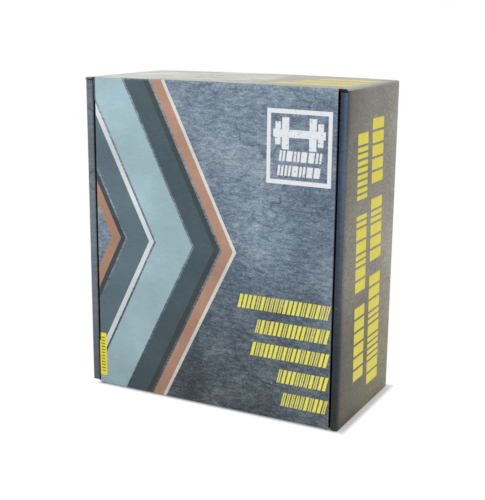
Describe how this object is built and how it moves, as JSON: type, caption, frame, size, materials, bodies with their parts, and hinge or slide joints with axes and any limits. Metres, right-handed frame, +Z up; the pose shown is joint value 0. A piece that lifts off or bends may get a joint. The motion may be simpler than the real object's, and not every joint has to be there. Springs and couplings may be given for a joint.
{
  "type": "boxed suspension trainer",
  "caption": "Printed corrugated mailer carton, standing, with a full-face hinged lid and a strap suspension trainer packed on a backing tray inside it.",
  "frame": {"origin": "centre of the carton's footprint, on the surface that it stands on", "axes": "+Z up, +Y to the rear panel, so that the lid's printed face looks along -Y, and +X to the viewer's right"},
  "size_m": [0.217, 0.108, 0.25],
  "materials": {
    "printed_board": "satin",
    "kraft_board": "matte",
    "paper": "satin",
    "tie": "satin",
    "black_webbing": "matte",
    "yellow_webbing": "matte",
    "foam": "matte",
    "plastic": "satin",
    "steel": "satin",
    "black_steel": "satin"
  },
  "bodies": {
    "carton": {"base_panel": "printed_board", "top_wall": "printed_board", "bottom_wall": "printed_board", "left_side_wall": "printed_board", "left_upper_corner_flap": "kraft_board", "left_lower_corner_flap": "kraft_board", "right_side_wall": "printed_board", "right_upper_corner_flap": "kraft_board", "right_lower_corner_flap": "kraft_board", "backing_tray": "kraft_board", "exercise_guide": "paper", "left_coil_tie": "tie", "right_coil_tie": "tie", "left_handle_tie": "tie", "right_handle_tie": "tie", "carabiner_tie": "tie", "door_anchor_tie": "tie", "carabiner_hook": "steel", "carabiner_gate_pin": "black_steel", "anchor_ring": "steel", "anchor_strap": "yellow_webbing", "door_anchor_pad": "foam", "door_anchor_loop": "black_webbing", "left_main_strap": "black_webbing", "left_buckle_frame": "steel", "left_buckle_pin": "black_steel", "left_lever_spring": "steel", "left_handle_tube": "plastic", "left_upper_end_cap": "plastic", "left_lower_end_cap": "plastic", "left_hand_loop": "black_webbing", "left_foot_loop": "yellow_webbing", "right_main_strap": "black_webbing", "right_buckle_frame": "steel", "right_buckle_pin": "black_steel", "right_lever_spring": "steel", "right_handle_tube": "plastic", "right_upper_end_cap": "plastic", "right_lower_end_cap": "plastic", "right_hand_loop": "black_webbing", "right_foot_loop": "yellow_webbing"},
    "lid": {"lid_panel": "printed_board"},
    "tuck_flap": {"lid_tuck_flap": "kraft_board"},
    "left_dust_flap": {"lid_left_flap": "kraft_board"},
    "right_dust_flap": {"lid_right_flap": "kraft_board"},
    "gate": {"carabiner_gate": "steel"},
    "left_lever": {"left_cam_lever": "black_steel"},
    "right_lever": {"right_cam_lever": "black_steel"},
    "left_grip_sleeve": {"left_grip": "foam"},
    "right_grip_sleeve": {"right_grip": "foam"}
  },
  "joints": [
    {"name": "lid_hinge", "type": "hinge", "parent": "carton", "child": "lid", "pos_m": [0, -0.054, 0.25], "axis": [-1, 0, 0], "range_deg": [0, 200]},
    {"name": "tuck_flap_fold", "type": "hinge", "parent": "lid", "child": "tuck_flap", "pos_m": [0, -0.0524, 0.0035], "axis": [1, 0, 0], "range_deg": [0, 80]},
    {"name": "left_dust_flap_fold", "type": "hinge", "parent": "lid", "child": "left_dust_flap", "pos_m": [-0.0999, -0.0524, 0.125], "axis": [0, 0, -1], "range_deg": [0, 80]},
    {"name": "right_dust_flap_fold", "type": "hinge", "parent": "lid", "child": "right_dust_flap", "pos_m": [0.0999, -0.0524, 0.125], "axis": [0, 0, 1], "range_deg": [0, 80]},
    {"name": "gate_hinge", "type": "hinge", "parent": "carton", "child": "gate", "pos_m": [0.0165, 0.0087, 0.1825], "axis": [0, -1, 0], "range_deg": [0, 25], "stiffness_Nm_per_rad": 0.05, "springref_deg": -17.19},
    {"name": "left_lever_hinge", "type": "hinge", "parent": "carton", "child": "left_lever", "pos_m": [-0.0324, 0.0087, 0.12], "axis": [0, 1, 0], "range_deg": [0, 16], "stiffness_Nm_per_rad": 0.05, "springref_deg": -22.92},
    {"name": "right_lever_hinge", "type": "hinge", "parent": "carton", "child": "right_lever", "pos_m": [0.0324, 0.0087, 0.12], "axis": [0, -1, 0], "range_deg": [0, 16], "stiffness_Nm_per_rad": 0.05, "springref_deg": -22.92},
    {"name": "left_grip_spin", "type": "hinge", "parent": "carton", "child": "left_grip_sleeve", "pos_m": [-0.077, 0.0087, 0.084], "axis": [0, 0, 1], "continuous": true},
    {"name": "right_grip_spin", "type": "hinge", "parent": "carton", "child": "right_grip_sleeve", "pos_m": [0.077, 0.0087, 0.084], "axis": [0, 0, 1], "continuous": true}
  ]
}
